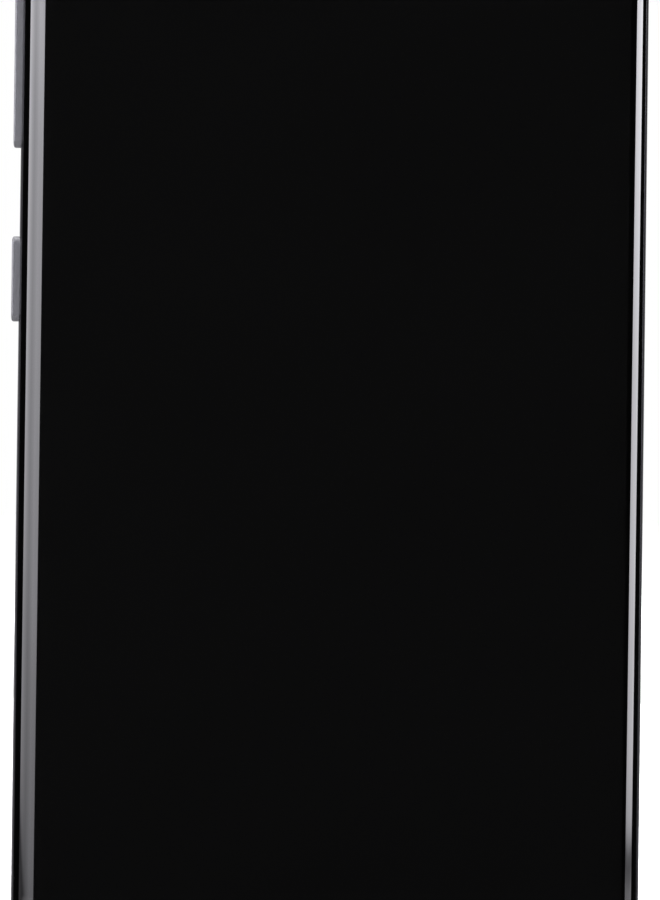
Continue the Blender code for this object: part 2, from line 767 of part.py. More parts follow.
black_glass = material("black_glass", (0.004, 0.004, 0.0045), 0.04)
panel_black = material("panel_black", (0.006, 0.006, 0.007), 0.3)
black_anodised = material("black_anodised", (0.05, 0.05, 0.055), 0.25, 1.0)
key_metal = material("key_metal", (0.16, 0.16, 0.17), 0.3, 1.0)
cast_metal = material("cast_metal", (0.35, 0.35, 0.36), 0.5, 1.0)
shield_metal = material("shield_metal", (0.6, 0.6, 0.6), 0.35, 1.0)
spring_steel = material("spring_steel", (0.55, 0.55, 0.55), 0.25, 1.0)
steel_mesh = material("steel_mesh", (0.04, 0.04, 0.04), 0.6, 1.0)
tungsten = material("tungsten", (0.3, 0.3, 0.32), 0.4, 1.0)
copper = material("copper", (0.7, 0.33, 0.18), 0.4, 1.0)
board_blue = material("board_blue", (0.02, 0.06, 0.12), 0.4)
flex_film = material("flex_film", (0.03, 0.02, 0.01), 0.4)
black_plastic = material("black_plastic", (0.015, 0.015, 0.015), 0.5)
grey_plastic = material("grey_plastic", (0.05, 0.05, 0.055), 0.45)
seal_rubber = material("seal_rubber", (0.01, 0.01, 0.01), 0.8)
battery_foil = material("battery_foil", (0.04, 0.04, 0.045), 0.5)
lens_black = material("lens_black", (0.01, 0.01, 0.012), 0.2)
clear_plastic = material("clear_plastic", (0.8, 0.78, 0.7), 0.2)
led_yellow = material("led_yellow", (0.8, 0.7, 0.2), 0.4)

make_display()
make_midplate()
make_side_frame()
make_back()
make_keys()
make_tray()
make_boards()
make_port()
make_sound_and_motion()
make_power()
make_antenna_cable()
make_brackets()
make_cameras()
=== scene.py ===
"""The looks of a slim smartphone with glass curved over its long edges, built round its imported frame.

Sizes are in millimetres until new_piece() turns them into metres. The screen faces -Y, the back +Y and the
keys -X.
"""

import math
from collections import namedtuple

import bmesh
import bpy
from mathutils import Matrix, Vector


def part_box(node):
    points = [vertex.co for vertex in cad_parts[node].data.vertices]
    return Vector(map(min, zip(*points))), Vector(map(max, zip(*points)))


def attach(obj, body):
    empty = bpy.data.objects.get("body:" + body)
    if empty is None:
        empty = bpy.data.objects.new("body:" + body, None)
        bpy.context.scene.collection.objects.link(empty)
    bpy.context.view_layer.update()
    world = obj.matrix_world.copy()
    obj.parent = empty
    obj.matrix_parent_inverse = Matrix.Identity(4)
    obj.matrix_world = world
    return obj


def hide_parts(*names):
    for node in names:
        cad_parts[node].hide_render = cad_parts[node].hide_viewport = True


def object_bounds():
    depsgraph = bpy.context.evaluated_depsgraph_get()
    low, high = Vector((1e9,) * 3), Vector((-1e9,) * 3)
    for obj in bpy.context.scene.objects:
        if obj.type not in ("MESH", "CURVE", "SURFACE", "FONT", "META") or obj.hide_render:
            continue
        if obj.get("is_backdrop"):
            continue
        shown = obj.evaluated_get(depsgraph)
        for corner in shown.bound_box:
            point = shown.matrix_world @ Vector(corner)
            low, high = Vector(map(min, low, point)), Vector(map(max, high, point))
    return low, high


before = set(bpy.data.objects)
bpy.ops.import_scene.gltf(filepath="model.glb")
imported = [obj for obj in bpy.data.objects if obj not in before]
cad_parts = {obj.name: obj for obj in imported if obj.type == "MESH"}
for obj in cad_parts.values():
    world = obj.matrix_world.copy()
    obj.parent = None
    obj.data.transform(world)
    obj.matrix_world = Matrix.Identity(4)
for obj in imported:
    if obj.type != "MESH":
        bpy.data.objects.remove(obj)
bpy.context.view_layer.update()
scene = bpy.context.scene


# ---------------------------------------------------------------- side rail
# One closed rail of aluminium, machined from a block, dyed black and polished. Both glasses sit on its
# shoulders, and the keys, the card tray, the port and the sound holes all go through it.


def edges(node):
    """The lowest and highest corner of a frame node, in millimetres."""
    low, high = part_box(node)
    return low * 1000, high * 1000


half_width = edges("side_frame")[1].x
length = edges("side_frame")[1].z
half_depth = edges("back_glass")[1].y
corner_radius = 9.5

# The rim's form at the short edges and at the long edges.
reveal = (0.9, 0.35)  # from the body's outline in to the glass
curve_width = (1.3, 3.7)  # of the glass's curve, as seen from the front
curve_drop = (0.75, 2.1)  # how far the curve falls back
rail_flat = (1.5, 0.3)  # half the flat on the rail's crown
rail_wall = (1.9, 3.4)  # the rail's thickness
blend = (3.0, 17.0)  # the distances from an end between which the one form turns into the other
glass_thickness = 0.6
seam = 0.16  # between the rail and each glass

Station = namedtuple("Station", "x z nx nz reveal width drop flat wall share")


def station(x, z, nx, nz):
    """A point of the body's outline with its outward direction and the form of the rim there."""
    end = min(z, length - z)
    t = min(max((end - blend[0]) / (blend[1] - blend[0]), 0.0), 1.0)
    share = t * t * (3 - 2 * t)
    rim = [a + (b - a) * share for a, b in (reveal, curve_width, curve_drop, rail_flat, rail_wall)]
    return Station(x, z, nx, nz, *rim, share)


def outline(corner_steps=24, blend_steps=14):
    """Points round the body, anticlockwise seen from the front, starting on the right-hand side."""
    found = []
    x, low, high = half_width - corner_radius, corner_radius, length - corner_radius
    rise = [corner_radius + (blend[1] - corner_radius) * k / blend_steps for k in range(1, blend_steps + 1)]
    for quarter, (cx, cz) in enumerate(((x, high), (-x, high), (-x, low), (x, low))):
        for k in range(corner_steps + 1):
            angle = math.pi / 2 * (quarter + k / corner_steps)
            nx, nz = math.cos(angle), math.sin(angle)
            found.append(station(cx + corner_radius * nx, cz + corner_radius * nz, nx, nz))
        if quarter == 1:
            found += [station(-half_width, z, -1, 0) for z in [length - z for z in rise] + rise[::-1]]
        if quarter == 3:
            found += [station(half_width, z, 1, 0) for z in rise + [length - z for z in rise[::-1]]]
    return found


stations = outline()


def inward(place, inset, y):
    """A point that lies inside a station by inset, at depth y."""
    return Vector((place.x - place.nx * inset, y, place.z - place.nz * inset))


def new_piece(name, bm, material, sharp=35):
    """Makes a mesh in millimetres into an object in metres, smooth except at its sharp edges."""
    bmesh.ops.recalc_face_normals(bm, faces=bm.faces)
    bmesh.ops.scale(bm, vec=(0.001, 0.001, 0.001), verts=bm.verts)
    mesh = bpy.data.meshes.new(name)
    bm.to_mesh(mesh)
    bm.free()
    mesh.shade_smooth()
    mesh.set_sharp_from_angle(angle=math.radians(sharp))
    for one in material if isinstance(material, list) else [material]:
        mesh.materials.append(one)
    made = bpy.data.objects.new(name, mesh)
    scene.collection.objects.link(made)
    return made


def lofted(name, loops, material=None, closed=False):
    """A body through loops with the same number of points. Its ends are capped, or joined if it is closed."""
    bm = bmesh.new()
    rings = [[bm.verts.new(point) for point in loop] for loop in loops]
    for first, second in list(zip(rings, rings[1:])) + ([(rings[-1], rings[0])] if closed else []):
        for a, b, c, d in zip(first, first[1:] + first[:1], second[1:] + second[:1], second):
            bm.faces.new((a, b, c, d))
    if not closed:
        bm.faces.new(rings[0])
        bm.faces.new(rings[-1][::-1])
    return new_piece(name, bm, material)


def settle(piece, sharp=35):
    """Applies the piece's modifiers to its mesh."""
    done = bpy.data.meshes.new_from_object(piece.evaluated_get(bpy.context.evaluated_depsgraph_get()))
    done.name = piece.name
    piece.modifiers.clear()
    piece.data = done
    done.set_sharp_from_angle(angle=math.radians(sharp))


def carve(piece, *others, operation="DIFFERENCE"):
    """Cuts other bodies out of a piece, joins them to it or keeps what they share, and removes them."""
    for other in others:
        step = piece.modifiers.new("carve", "BOOLEAN")
        step.operation = operation
        step.object = other
    settle(piece)
    for other in others:
        bpy.data.objects.remove(other)


def round_edges(piece, width, steps=2, angle=40):
    """Rounds the edges that are sharper than an angle."""
    step = piece.modifiers.new("rounding", "BEVEL")
    step.width = width * 0.001
    step.segments = steps
    step.limit_method = "ANGLE"
    step.angle_limit = math.radians(angle)
    settle(piece)


# Which world axis each direction of a stack runs along: across, along and through it.
facings = {"ends": (0, 1, 2), "back": (0, 2, 1), "side": (1, 2, 0)}


def rounded_rectangle(half_across, half_along, radius, steps):
    """Points round a rectangle with round corners, which become a full round where the radius fills it."""
    radius = min(radius, half_across * 0.9999, half_along * 0.9999)
    points = []
    for quarter, (sx, sy) in enumerate(((1, 1), (-1, 1), (-1, -1), (1, -1))):
        for k in range(steps + 1):
            angle = math.pi / 2 * (quarter + k / steps)
            u = sx * (half_across - radius) + radius * math.cos(angle)
            v = sy * (half_along - radius) + radius * math.sin(angle)
            points.append((u, v))
    return points


def stack(name, facing, centre, levels, material=None, closed=False, steps=8):
    """A body through rounded rectangles, each (place along the stack, half across, half along, radius)."""
    across, along, through = facings[facing]
    loops = []
    for place, half_across, half_along, radius in levels:
        loop = []
        for u, v in rounded_rectangle(half_across, half_along, radius, steps):
            point = Vector((0, 0, 0))
            point[across] = centre[0] + u
            point[along] = centre[1] + v
            point[through] = place
            loop.append(point)
        loops.append(loop)
    return lofted(name, loops, material, closed)


def turned(name, facing, centre, profile, material=None, closed=False, steps=40):
    """A turned body. Its profile runs from one end to the other as (place along the axis, radius)."""
    levels = [(place, radius, radius, radius) for place, radius in profile]
    return stack(name, facing, centre, levels, material, closed, steps // 4)


def linear(code):
    """An sRGB hex colour as linear RGBA."""
    parts = [int(code[k : k + 2], 16) / 255 for k in (1, 3, 5)]
    return (*[p / 12.92 if p <= 0.04045 else ((p + 0.055) / 1.055) ** 2.4 for p in parts], 1.0)


def add_node(material, kind, options=None, values=None, links=None, stops=()):
    """Adds a node with its options, the values of its sockets, what is linked to them, and the stops of its
    ramp as (position, linear RGBA), from the lowest to the highest."""
    made = material.node_tree.nodes.new("ShaderNode" + kind)
    for name, value in (options or {}).items():
        setattr(made, name, value)
    for name, value in (values or {}).items():
        made.inputs[name].default_value = value
    for name, source in (links or {}).items():
        material.node_tree.links.new(source, made.inputs[name])
    if stops:
        elements = made.color_ramp.elements
        while len(elements) < len(stops):
            elements.new(0.5)
        for element, (position, colour) in zip(elements, stops):
            element.position = position
            element.color = colour
    return made


def new_material(name, roughness, metallic=0.0, **values):
    """(material, shader) with the values that are the same all over the surface."""
    made = bpy.data.materials.new(name)
    made.use_nodes = True
    shader = made.node_tree.nodes["Principled BSDF"]
    shader.inputs["Roughness"].default_value = roughness
    shader.inputs["Metallic"].default_value = metallic
    for socket, value in values.items():
        shader.inputs[socket.replace("_", " ")].default_value = value
    return made, shader


def feed(shader, **sources):
    """Links each source to the shader's socket of that name."""
    for socket, source in sources.items():
        shader.id_data.links.new(source, shader.inputs[socket.replace("_", " ")])


def grain(material, shader, size, colours, roughness, depth, stretch=(1, 1, 1)):
    """An uneven surface: two colours, two roughnesses and a relief of depth mm, from grains of size mm. A
    grain under 0.1 mm wouldn't show, so the finer finishes are drawn at 0.1 to 0.3 mm."""
    place = add_node(material, "TexCoord")
    spread = add_node(
        material, "Mapping", values={"Scale": stretch}, links={"Vector": place.outputs["Object"]}
    )
    noise = add_node(
        material,
        "TexNoise",
        values={"Scale": 1000 / size, "Detail": 3.0, "Roughness": 0.6},
        links={"Vector": spread.outputs["Vector"]},
    )
    # The noise rarely leaves this part of its range.
    lowest, highest = 0.3, 0.7
    tint = add_node(
        material,
        "ValToRGB",
        links={"Fac": noise.outputs["Fac"]},
        stops=[(lowest, linear(colours[0])), (highest, linear(colours[1]))],
    )
    polish = add_node(
        material,
        "MapRange",
        values={"From Min": lowest, "From Max": highest, "To Min": roughness[0], "To Max": roughness[1]},
        links={"Value": noise.outputs["Fac"]},
    )
    relief = add_node(
        material,
        "Bump",
        values={"Strength": 1.0, "Distance": depth / 1000},
        links={"Height": noise.outputs["Fac"]},
    )
    feed(
        shader,
        Base_Color=tint.outputs["Color"],
        Roughness=polish.outputs["Result"],
        Normal=relief.outputs["Normal"],
    )


# Polished and black-dyed anodised aluminium: a hard, deep black with a metal's tinted highlight, and
# the faintest drawn grain along the edge. The grain is 0.12 mm where a real one is about 0.02 mm.
black_anodised, shader = new_material(
    "anodised_aluminium_black_polished", 0.2, 1.0, Coat_Weight=0.25, Coat_Roughness=0.08
)
grain(black_anodised, shader, 0.12, ("#17171a", "#1d1d20"), (0.18, 0.26), 0.0006, stretch=(1, 1, 0.1))


def rail_loops(steps=7):
    """Loops from the front shoulder over the rail's crown to the back one, and back along its inner wall."""

    def shoulder(place):
        return half_depth - place.drop - seam

    loops = []
    for side in (-1, 1):
        for k in range(steps + 1)[::side]:
            t = k / steps
            loops.append(
                [inward(p, p.reveal * t * t, side * (p.flat + t * (shoulder(p) - p.flat))) for p in stations]
            )
    loops.append([inward(p, p.wall, shoulder(p)) for p in stations])
    loops.append([inward(p, p.wall, -shoulder(p)) for p in stations])
    return loops


side_rail = lofted("side_rail", rail_loops(), black_anodised, closed=True)
round_edges(side_rail, 0.06)

strip_places = {
    "antenna_strip_bottom_left": (-25.5, 0.0),
    "antenna_strip_bottom_right": (25.5, 0.0),
    "antenna_strip_top_left": (-25.5, length),
    "antenna_strip_top_right": (25.5, length),
}
groove_depth, groove = 1.25, (0.65, 5, 0.01)
for x, z in strip_places.values():
    levels = [(z - groove_depth, *groove), (z + groove_depth, *groove)]
    carve(side_rail, stack("groove", "ends", (x, 0), levels, steps=1))

# The port's mouth, the drilled sound holes, and the slots of the keys and the tray. Each cutter widens at 45
# degrees from just under the rail's face, which breaks the opening's edge.
port_low, port_high = edges("usb_c_shell")
mouth = (port_high.x + 0.15, port_high.y + 0.15)
levels = [(-1, mouth[0] + 1.12, mouth[1] + 1.12, 2.7), (0.12, *mouth, 1.6), (3.0, *mouth, 1.6)]
carve(side_rail, stack("mouth", "ends", (0, 0), levels))
sound_holes = [(10.5 + 2.1 * k, 0.6) for k in range(6)] + [(-10.0, 0.45)]
for x, radius in sound_holes:
    profile = [(-1, radius + 1.1), (0.1, radius), (3, radius)]
    carve(side_rail, turned("drill", "ends", (x, 0), profile, steps=32))
profile = [(length + 1, 1.55), (length - 0.1, 0.45), (length - 3, 0.45)]
carve(side_rail, turned("drill", "ends", (8.0, 0), profile, steps=32))

# Half a key cap's height, what its flange adds at each end, and the play round it in its slot.
key_half_height = 0.95
key_flange = 0.8
key_play = 0.13
for node in ("volume_rocker", "power_key"):
    low, high = edges(node)
    middle, half = (low.z + high.z) / 2, (high.z - low.z) / 2 - key_flange
    slot = (key_half_height + key_play, half + key_play)
    levels = [
        (-half_width - 1, slot[0] + 1.08, slot[1] + 1.08, 2.0),
        (-half_width + 0.08, *slot, 0.95),
        (-30, *slot, 0.95),
    ]
    carve(side_rail, stack("slot", "side", (0, middle), levels))
    pocket = (1.35, half + 1.2, 0.1)
    carve(side_rail, stack("pocket", "side", (0, middle), [(-33.25, *pocket), (-30, *pocket)]))

tray_low, tray_high = edges("sim_tray")
tray_x, tray_y = (tray_low.x + tray_high.x) / 2, (tray_low.y + tray_high.y) / 2
tray_half = ((tray_high.x - tray_low.x) / 2, (tray_high.y - tray_low.y) / 2)
levels = [
    (length + 1, tray_half[0] + 1.18, tray_half[1] + 1.18, 2.0),
    (length - 0.06, tray_half[0] + 0.12, tray_half[1] + 0.12, 0.97),
    (length - 1.3, tray_half[0] + 0.12, tray_half[1] + 0.12, 0.97),
]
carve(side_rail, stack("tray_mouth", "ends", (tray_x, tray_y), levels))
plate_slot = (7.48, 0.68, 0.3)
levels = [(length, *plate_slot), (length - 5, *plate_slot)]
carve(side_rail, stack("tray_slot", "ends", (tray_x, tray_y), levels))
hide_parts("side_frame")
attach(side_rail, "phone_body")


# ---------------------------------------------------------------- antenna strips
# Plastic that is moulded into grooves across the rail and machined flush with it, so that the radio can
# get out of a metal rim. It is a touch greyer and duller than the metal.

strip_plastic, shader = new_material("polyamide_dark_grey_machined", 0.42)
grain(strip_plastic, shader, 0.15, ("#2d2d31", "#343439"), (0.38, 0.48), 0.001)
# A strip stays a hair clear of its groove's sides and floor.
strip_depth, strip_width = groove_depth - 0.05, (groove[0] - 0.03, *groove[1:])
for name, (x, z) in strip_places.items():
    strip = lofted(name + "_moulding", rail_loops(), strip_plastic, closed=True)
    levels = [(z - strip_depth, *strip_width), (z + strip_depth, *strip_width)]
    carve(strip, stack("keep", "ends", (x, 0), levels, steps=1), operation="INTERSECT")
    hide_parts(name)
    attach(strip, "phone_body")


def finish_node(material, *nodes):
    """Gives a material to nodes whose shape is already right."""
    for node in nodes:
        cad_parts[node].material_slots[0].material = material


# ---------------------------------------------------------------- midplate and brackets
# A die-cast and machined aluminium plate carries everything between the glasses. Its skin is bead blasted,
# which leaves a fine, even, light grey matte.

blasted, shader = new_material("aluminium_bead_blasted", 0.5, 1.0)
grain(blasted, shader, 0.2, ("#8f9092", "#a4a5a7"), (0.45, 0.6), 0.004)
finish_node(blasted, "midplate")

# Glass-filled nylon brackets, moulded black: spark-eroded and dull, with a lighter top to each grain.
nylon, shader = new_material("nylon_black_moulded", 0.55)
grain(nylon, shader, 0.25, ("#141415", "#1f1f20"), (0.5, 0.68), 0.006)
finish_node(nylon, "upper_bracket", "lower_bracket", "loudspeaker", "earpiece_speaker")
finish_node(nylon, "main_camera_body", "tele_camera_body")

# Six small steel screws hold the brackets. They are turned, and dulled by their zinc plating.
screw_steel, shader = new_material("steel_zinc_plated", 0.35, 1.0)
grain(screw_steel, shader, 0.1, ("#8b8c8e", "#b2b3b5"), (0.28, 0.42), 0.001)
finish_node(screw_steel, *[f"bracket_screw_{k}" for k in range(1, 7)])


# ---------------------------------------------------------------- boards, shields and films
# The boards are glass-cloth laminate under a dark blue solder mask, which shows the copper tracks below it
# as a slightly raised, slightly lighter net of lines about half a millimetre apart.

solder_mask, shader = new_material("laminate_solder_mask_blue", 0.35)
tracks = add_node(
    solder_mask,
    "TexBrick",
    options={"offset": 0.37},
    values={
        "Color1": linear("#0d2338"),
        "Color2": linear("#123049"),
        "Mortar": linear("#1d4a69"),
        "Scale": 1000,
        "Mortar Size": 0.06,
        "Brick Width": 2.3,
        "Row Height": 0.5,
    },
)
place = add_node(solder_mask, "TexCoord")
upright = {"Rotation": (math.pi / 2, 0, 0)}
flat = add_node(solder_mask, "Mapping", values=upright, links={"Vector": place.outputs["Object"]})
feed(tracks, Vector=flat.outputs["Vector"])
raised = add_node(solder_mask, "Bump", values={"Distance": 0.00002}, links={"Height": tracks.outputs["Fac"]})
feed(shader, Base_Color=tracks.outputs["Color"], Normal=raised.outputs["Normal"])
finish_node(solder_mask, "main_board", "charging_board")

# Shield cans are pressed from nickel silver sheet, which keeps the long fine lines of its rolling.
rolled, shader = new_material("nickel_silver_rolled", 0.3, 1.0)
grain(rolled, shader, 0.3, ("#a5a39d", "#c0beb8"), (0.24, 0.4), 0.001, stretch=(0.05, 1, 1))
finish_node(rolled, "processor_shield", "radio_shield", "power_shield")
finish_node(rolled, "sim_reader", "bottom_microphone", "top_microphone")

# Stainless strip, brushed one way, which draws its shine out into streaks. The snap domes, the vibrator's
# case and the port's shell are pressed from it.
strip_steel, shader = new_material("stainless_steel_brushed", 0.28, 1.0)
grain(strip_steel, shader, 0.2, ("#9b9b9c", "#bcbcbd"), (0.22, 0.36), 0.001, stretch=(1, 1, 0.06))
finish_node(strip_steel, "vibrator_case", "power_switch", "volume_down_switch", "volume_up_switch")

# The vibrator's mass is pressed and sintered tungsten: dark, dense and dull with a sandy surface.
sintered, shader = new_material("tungsten_sintered", 0.5, 1.0)
grain(sintered, shader, 0.12, ("#55565a", "#6d6e73"), (0.45, 0.62), 0.004)
finish_node(sintered, "vibrator_mass")


def wave_scale(pitch):
    """The scale at which a wave texture's bands lie pitch mm apart."""
    return 1000 / pitch / 20 * math.pi


# Flexible circuits are polyimide film over copper: dark amber, with fine straight tracks 0.4 mm apart.
film, shader = new_material("polyimide_film_amber", 0.32)
place = add_node(film, "TexCoord")
lines = add_node(
    film,
    "TexWave",
    options={"bands_direction": "X"},
    values={"Scale": wave_scale(0.4), "Distortion": 0.4, "Detail": 1.0},
    links={"Vector": place.outputs["Object"]},
)
amber = add_node(
    film,
    "ValToRGB",
    links={"Fac": lines.outputs["Fac"]},
    stops=[(0, linear("#2a1709")), (1, linear("#5a3412"))],
)
ridge = add_node(film, "Bump", values={"Distance": 0.000012}, links={"Height": lines.outputs["Fac"]})
feed(shader, Base_Color=amber.outputs["Color"], Normal=ridge.outputs["Normal"])
finish_node(film, "display_flex", "battery_flex", "interconnect_flex", "side_key_flex")

# The antenna lead's jacket is extruded fluoropolymer: black, smooth and waxy.
jacket, shader = new_material("fluoropolymer_black_extruded", 0.35)
grain(jacket, shader, 1.2, ("#131313", "#1b1b1b"), (0.3, 0.42), 0.002)
finish_node(jacket, "antenna_coax")


# ---------------------------------------------------------------- battery and charging coil
# The cell is a laminated aluminium pouch in a dark wrap. The wrap follows the wound cell under it in
# shallow, wide undulations, with a satin sheen.

wrap, shader = new_material("battery_wrap_satin", 0.4, 0.0, Specular_IOR_Level=0.6)
grain(wrap, shader, 9.0, ("#17171a", "#202024"), (0.34, 0.48), 0.08)
finish_node(wrap, "battery")

# Bare copper, warm and half bright: the backing sheet's rolled foil, and the coil's flat spiral, whose turns
# are 0.9 mm apart.
foil, shader = new_material("copper_foil_rolled", 0.35, 1.0)
grain(foil, shader, 0.4, ("#b5673f", "#cf8055"), (0.3, 0.45), 0.001, stretch=(1, 1, 0.08))
finish_node(foil, "display_backing_sheet")
winding, shader = new_material("copper_wire_flat_wound", 0.35, 1.0)
coil_low, coil_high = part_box("wireless_charging_coil")
place = add_node(winding, "TexCoord")
to_middle = {"Location": -(coil_low + coil_high) / 2}
centred = add_node(winding, "Mapping", values=to_middle, links={"Vector": place.outputs["Object"]})
turns = add_node(
    winding,
    "TexWave",
    options={"wave_type": "RINGS", "rings_direction": "Y", "wave_profile": "SIN"},
    values={"Scale": wave_scale(0.9), "Distortion": 0.0},
    links={"Vector": centred.outputs["Vector"]},
)
# Painted highlight and painted shade: each turn's colour runs from bright copper on its crown, following its
# relief, to dark brown where it meets the next turn.
turn_highlight_and_shade = add_node(
    winding,
    "ValToRGB",
    links={"Fac": turns.outputs["Fac"]},
    stops=[(0, linear("#5e2f1a")), (1, linear("#cf8055"))],
)
crown = add_node(winding, "Bump", values={"Distance": 0.0001}, links={"Height": turns.outputs["Fac"]})
feed(shader, Base_Color=turn_highlight_and_shade.outputs["Color"], Normal=crown.outputs["Normal"])
finish_node(winding, "wireless_charging_coil")


# ---------------------------------------------------------------- gaskets and seals
# Die-cut foam adhesive under each glass and a moulded silicone seal round the port keep water out. Both are
# black, with no shine.

seal_rubber, shader = new_material("silicone_rubber_black", 0.8)
grain(seal_rubber, shader, 0.3, ("#0c0c0c", "#141414"), (0.72, 0.9), 0.004)
finish_node(seal_rubber, "display_gasket", "back_gasket", "usb_c_seal")


# ---------------------------------------------------------------- display panel
# The light-emitting panel is a film laminated under the cover glass, and its edges bend back with it. It is a
# smooth near-black when it is off.

panel_film, shader = new_material("display_film_black", 0.3)
grain(panel_film, shader, 2.0, ("#08080a", "#0c0c0f"), (0.25, 0.35), 0.001)
finish_node(panel_film, "display_panel")


# ---------------------------------------------------------------- cover glass
# Chemically strengthened glass, hot-bent over both long edges and polished. The back of it is printed with
# black ink round the display, so the margin is a deeper black than the switched-off display inside it.


def arc(place):
    """(radius, end angle) of the glass's curved margin."""
    angle = 2 * math.atan(place.drop / place.width)
    return place.width / math.sin(angle), angle


def on_glass(place, angle, offset, side):
    """A point of the glass's surface, or offset inside it, at an angle from where its flat ends."""
    radius, _ = arc(place)
    inset = place.reveal + place.width - (radius - offset) * math.sin(angle)
    return inward(place, inset, side * (half_depth - radius + (radius - offset) * math.cos(angle)))


# How many faces the inside of the glass's curve has.
inner_steps = 6


def inner_end(place):
    """The angle at which the glass's inside meets the plane of its edge."""
    radius, angle = arc(place)
    return math.acos(radius * math.cos(angle) / (radius - glass_thickness))


def black_glass(name, colour, smear):
    """Polished black glass, whose roughness wanders between the two of smear, as its wiped coat's does."""
    made, shader = new_material(name, smear[0], 0.0, IOR=1.51, Specular_IOR_Level=0.5)
    shader.inputs["Base Color"].default_value = linear(colour)
    place = add_node(made, "TexCoord")
    cloud = add_node(
        made,
        "TexNoise",
        values={"Scale": 1000 / 14, "Detail": 4.0},
        links={"Vector": place.outputs["Object"]},
    )
    wiped = add_node(
        made,
        "MapRange",
        values={"From Min": 0.35, "From Max": 0.7, "To Min": smear[0], "To Max": smear[1]},
        links={"Value": cloud.outputs["Fac"]},
    )
    feed(shader, Roughness=wiped.outputs["Result"])
    return made, shader, place, cloud


# Black ink under glass: the deepest black of the phone, seen through a mirror-smooth surface.
glass_smear = (0.02, 0.035)
inked_glass, *_ = black_glass("glass_polished_over_black_ink", "#010101", glass_smear)

# Switched-off display under the same glass: a neutral near-black, because its circular polariser lets a
# little light back out.
display_glass, shader, _, cloud = black_glass("glass_polished_over_dark_display", "#040404", glass_smear)
dark = add_node(
    display_glass,
    "ValToRGB",
    links={"Fac": cloud.outputs["Fac"]},
    stops=[(0, linear("#040404")), (1, linear("#050505"))],
)
feed(shader, Base_Color=dark.outputs["Color"])


def display_edge(place):
    """How far in from the body's outline the lit area starts."""
    return 3.4 - 1.2 * place.share


def cover_glass(edge_steps=8, steps=24):
    """The glass's faces, with the display's area marked by the second material. There are edge_steps faces
    between the display's edge and the curve's start, whichever comes first, and steps faces beyond them."""
    bm = bmesh.new()
    loops = []
    for p in stations:
        radius, end = arc(p)
        rim = p.reveal + p.width
        flat_end = max(rim, display_edge(p))
        # The angle at which the display starts on the curve. It is 0 where the display stays on the flat.
        start = math.asin(max(0.0, rim - display_edge(p)) / radius)
        column = [inward(p, flat_end + 0.6, -half_depth), inward(p, flat_end, -half_depth)]
        column += [on_glass(p, start * k / edge_steps, 0.0, -1) for k in range(1, edge_steps + 1)]
        column += [on_glass(p, start + (end - start) * k / steps, 0.0, -1) for k in range(1, steps + 1)]
        for k in range(inner_steps, -1, -1):
            column.append(on_glass(p, inner_end(p) * k / inner_steps, glass_thickness, -1))
        loops.append(column)
    # Where the display starts on the flat, the points between its edge and the curve's start are spread
    # evenly, and the last of them stays just short of the curve.
    just_short = 0.999
    for p, column in zip(stations, loops):
        rim, edge = p.reveal + p.width, display_edge(p)
        if edge > rim:
            for k in range(1, edge_steps + 1):
                column[1 + k] = inward(p, edge + (rim - edge) * k / edge_steps * just_short, -half_depth)
    rings = [[bm.verts.new(column[k]) for column in loops] for k in range(len(loops[0]))]
    for k, (first, second) in enumerate(zip(rings, rings[1:])):
        for i, p in enumerate(stations):
            j = (i + 1) % len(first)
            face = bm.faces.new((first[i], first[j], second[j], second[i]))
            on_flat = display_edge(p) > p.reveal + p.width
            lit_until = 1 if on_flat else 1 + edge_steps
            face.material_index = int(k < lit_until)
    bm.faces.new(rings[0]).material_index = 1
    bm.faces.new(rings[-1][::-1])
    return new_piece("front_glass", bm, [inked_glass, display_glass])


front_glass = cover_glass()
round_edges(front_glass, 0.07, angle=50)
ear_low, ear_high = edges("earpiece_mesh")
ear_z = (ear_low.z + ear_high.z) / 2
ear_half = (5.5, 0.4)
levels = [
    (-half_depth - 0.4, ear_half[0] + 0.46, ear_half[1] + 0.46, 0.85),
    (-half_depth + 0.06, *ear_half, 0.39),
    (-3.0, *ear_half, 0.39),
]
carve(front_glass, stack("ear_slot", "back", (0, ear_z), levels))
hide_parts("cover_glass")
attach(front_glass, "phone_body")

# The mesh behind the ear slot is woven from blackened steel wire, about 0.12 mm from wire to wire. It is
# drawn at 0.25 mm so that it shows.
wire_mesh, shader = new_material("steel_mesh_woven_black", 0.5, 0.8)
place = add_node(wire_mesh, "TexCoord")
wires = [
    add_node(
        wire_mesh,
        "TexWave",
        options={"bands_direction": direction},
        values={"Scale": wave_scale(0.25), "Distortion": 0.0},
        links={"Vector": place.outputs["Object"]},
    )
    for direction in ("X", "Z")
]
weave = add_node(
    wire_mesh,
    "Math",
    options={"operation": "MAXIMUM"},
    links={0: wires[0].outputs["Fac"], 1: wires[1].outputs["Fac"]},
)
# Painted shade: the colour is grey along each wire and falls to near black between the wires, where the
# openings are.
wires_and_shaded_gaps = add_node(
    wire_mesh,
    "ValToRGB",
    links={"Fac": weave.outputs["Value"]},
    stops=[(0, linear("#050505")), (1, linear("#3a3a3c"))],
)
relief = add_node(wire_mesh, "Bump", values={"Distance": 0.00005}, links={"Height": weave.outputs["Value"]})
feed(shader, Base_Color=wires_and_shaded_gaps.outputs["Color"], Normal=relief.outputs["Normal"])
finish_node(wire_mesh, "earpiece_mesh", "loudspeaker_mesh")


# ---------------------------------------------------------------- front camera
# A small camera looks out through a round window in the display. Its window is flush with the cover glass,
# so what shows is a black ring with a small lens behind it.

